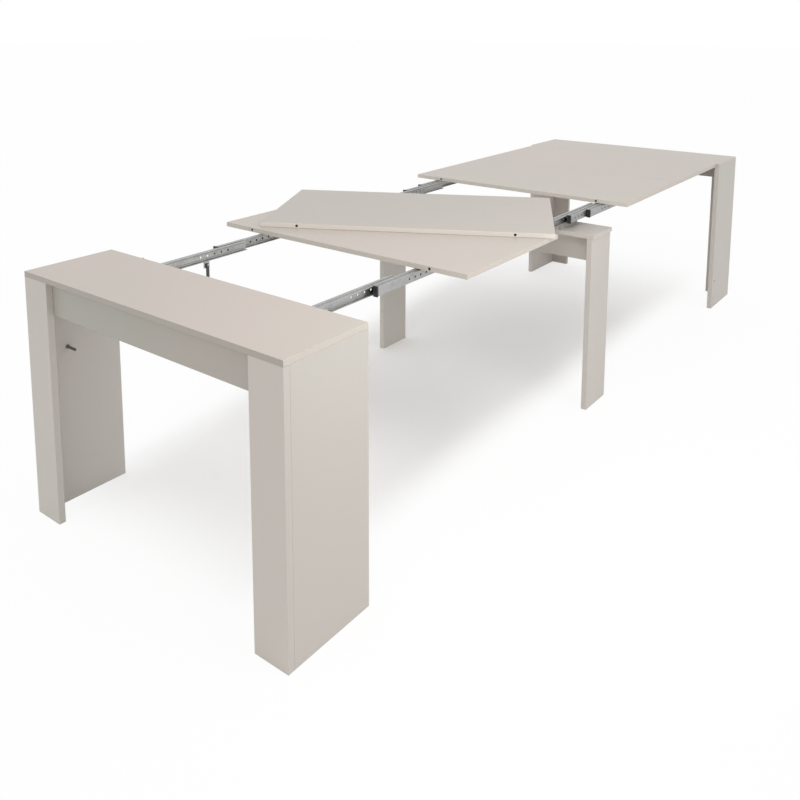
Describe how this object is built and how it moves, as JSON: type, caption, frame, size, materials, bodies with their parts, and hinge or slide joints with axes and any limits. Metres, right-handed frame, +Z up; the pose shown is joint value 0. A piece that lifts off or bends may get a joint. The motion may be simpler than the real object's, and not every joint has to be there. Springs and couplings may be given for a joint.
{
  "type": "extending console table",
  "caption": "Extending console table standing drawn out on telescopic steel runners, with lacquered leaves, a middle leg frame and open leaf bays.",
  "frame": {"origin": "on the floor, at the middle of the whole part's box as it stands in the rest pose", "axes": "+X across the table to the right seen from the near end, +Y along the table from the near console to the far console, +Z up"},
  "size_m": [1.116, 3.2386, 0.7353],
  "materials": {
    "lacquer": "gloss greige lacquer on fibreboard",
    "galvanised_steel": "bright zinc plating",
    "black_plastic": "moulded",
    "grey_plastic": "moulded",
    "dark_lever": "satin powder coat",
    "dark_peg": "moulded",
    "dowel": "bare fluted beech"
  },
  "bodies": {
    "near_console": {"near_top": "lacquer", "near_apron": "lacquer", "near_side_left": "lacquer", "near_side_right": "lacquer", "near_front_left": "lacquer", "near_front_right": "lacquer", "near_dowels": "dowel", "storage_pegs": "dark_peg", "runner_0_left": "galvanised_steel", "runner_0_right": "galvanised_steel"},
    "stage_1": {"runner_1_left": "galvanised_steel", "runner_1_right": "galvanised_steel", "runner_1_stops": "black_plastic", "lever_bracket": "galvanised_steel", "lever_pin": "galvanised_steel"},
    "stage_2": {"runner_2_left": "galvanised_steel", "runner_2_right": "galvanised_steel", "runner_2_stops": "black_plastic"},
    "stage_3": {"runner_3_left": "galvanised_steel", "runner_3_right": "galvanised_steel", "runner_3_stops": "black_plastic"},
    "stage_4": {"runner_4_left": "galvanised_steel", "runner_4_right": "galvanised_steel", "runner_4_stops": "black_plastic", "middle_plate": "lacquer", "middle_beam": "lacquer", "middle_leg_left": "lacquer", "middle_leg_right": "lacquer", "middle_spacers": "grey_plastic"},
    "stage_5": {"runner_5_left": "galvanised_steel", "runner_5_right": "galvanised_steel", "runner_5_stops": "black_plastic"},
    "stage_6": {"runner_6_left": "galvanised_steel", "runner_6_right": "galvanised_steel", "runner_6_stops": "black_plastic"},
    "stage_7": {"runner_7_left": "galvanised_steel", "runner_7_right": "galvanised_steel", "runner_7_stops": "black_plastic"},
    "stage_8": {"runner_8_left": "galvanised_steel", "runner_8_right": "galvanised_steel", "runner_8_stops": "black_plastic"},
    "far_console": {"far_top": "lacquer", "far_apron": "lacquer", "far_side_left": "lacquer", "far_side_right": "lacquer", "far_front_left": "lacquer", "far_front_right": "lacquer", "far_cap": "black_plastic", "runner_9_left": "galvanised_steel", "runner_9_right": "galvanised_steel"},
    "leaf_middle": {"leaf_middle": "lacquer", "leaf_middle_dowels": "dowel"},
    "leaf_loose": {"leaf_loose": "lacquer", "leaf_loose_dowels": "dowel"},
    "leaf_far_rear": {"leaf_far_rear": "lacquer", "leaf_far_rear_dowels": "dowel"},
    "leaf_far_front": {"leaf_far_front": "lacquer", "leaf_far_front_dowels": "dowel"},
    "lever": {"lock_lever": "dark_lever"}
  },
  "joints": [
    {"name": "near_extension", "type": "slide", "parent": "near_console", "child": "stage_1", "axis": [0, 1, 0], "range_m": [-0.063, 0.01]},
    {"name": "near_extension_2", "type": "slide", "parent": "stage_1", "child": "stage_2", "axis": [0, 1, 0], "range_m": [-0.189, 0.03]},
    {"name": "near_extension_3", "type": "slide", "parent": "stage_2", "child": "stage_3", "axis": [0, 1, 0], "range_m": [-0.189, 0.03]},
    {"name": "far_extension", "type": "slide", "parent": "stage_3", "child": "stage_4", "axis": [0, 1, 0], "range_m": [-0.086, 0.01]},
    {"name": "far_extension_2", "type": "slide", "parent": "stage_4", "child": "stage_5", "axis": [0, 1, 0], "range_m": [-0.086, 0.01]},
    {"name": "far_extension_3", "type": "slide", "parent": "stage_5", "child": "stage_6", "axis": [0, 1, 0], "range_m": [-0.086, 0.01]},
    {"name": "far_extension_4", "type": "slide", "parent": "stage_6", "child": "stage_7", "axis": [0, 1, 0], "range_m": [-0.086, 0.01]},
    {"name": "far_extension_5", "type": "slide", "parent": "stage_7", "child": "stage_8", "axis": [0, 1, 0], "range_m": [-0.086, 0.01]},
    {"name": "far_extension_6", "type": "slide", "parent": "stage_8", "child": "far_console", "axis": [0, 1, 0], "range_m": [-0.086, 0.01]},
    {"name": "leaf_middle_lift", "type": "slide", "parent": "stage_3", "child": "leaf_middle", "axis": [0, 0, 1], "range_m": [0, 0.25]},
    {"name": "leaf_loose_lift", "type": "slide", "parent": "leaf_middle", "child": "leaf_loose", "axis": [0, 0, 1], "range_m": [0, 0.25]},
    {"name": "leaf_far_rear_draw", "type": "slide", "parent": "far_console", "child": "leaf_far_rear", "axis": [0, 1, 0], "range_m": [-0.03, 0]},
    {"name": "leaf_far_front_draw", "type": "slide", "parent": "leaf_far_rear", "child": "leaf_far_front", "axis": [0, 1, 0], "range_m": [-0.03, 0]},
    {"name": "lever_swing", "type": "hinge", "parent": "stage_1", "child": "lever", "pos_m": [-0.2417, -1.1413, 0.6627], "axis": [1, 0, 0], "range_deg": [-30, 60]}
  ],
  "couplings": [
    {"joint": "near_extension_2", "follows": "near_extension", "ratio": 3},
    {"joint": "near_extension_3", "follows": "near_extension", "ratio": 3},
    {"joint": "far_extension_2", "follows": "far_extension", "ratio": 1},
    {"joint": "far_extension_3", "follows": "far_extension", "ratio": 1},
    {"joint": "far_extension_4", "follows": "far_extension", "ratio": 1},
    {"joint": "far_extension_5", "follows": "far_extension", "ratio": 1},
    {"joint": "far_extension_6", "follows": "far_extension", "ratio": 1}
  ]
}
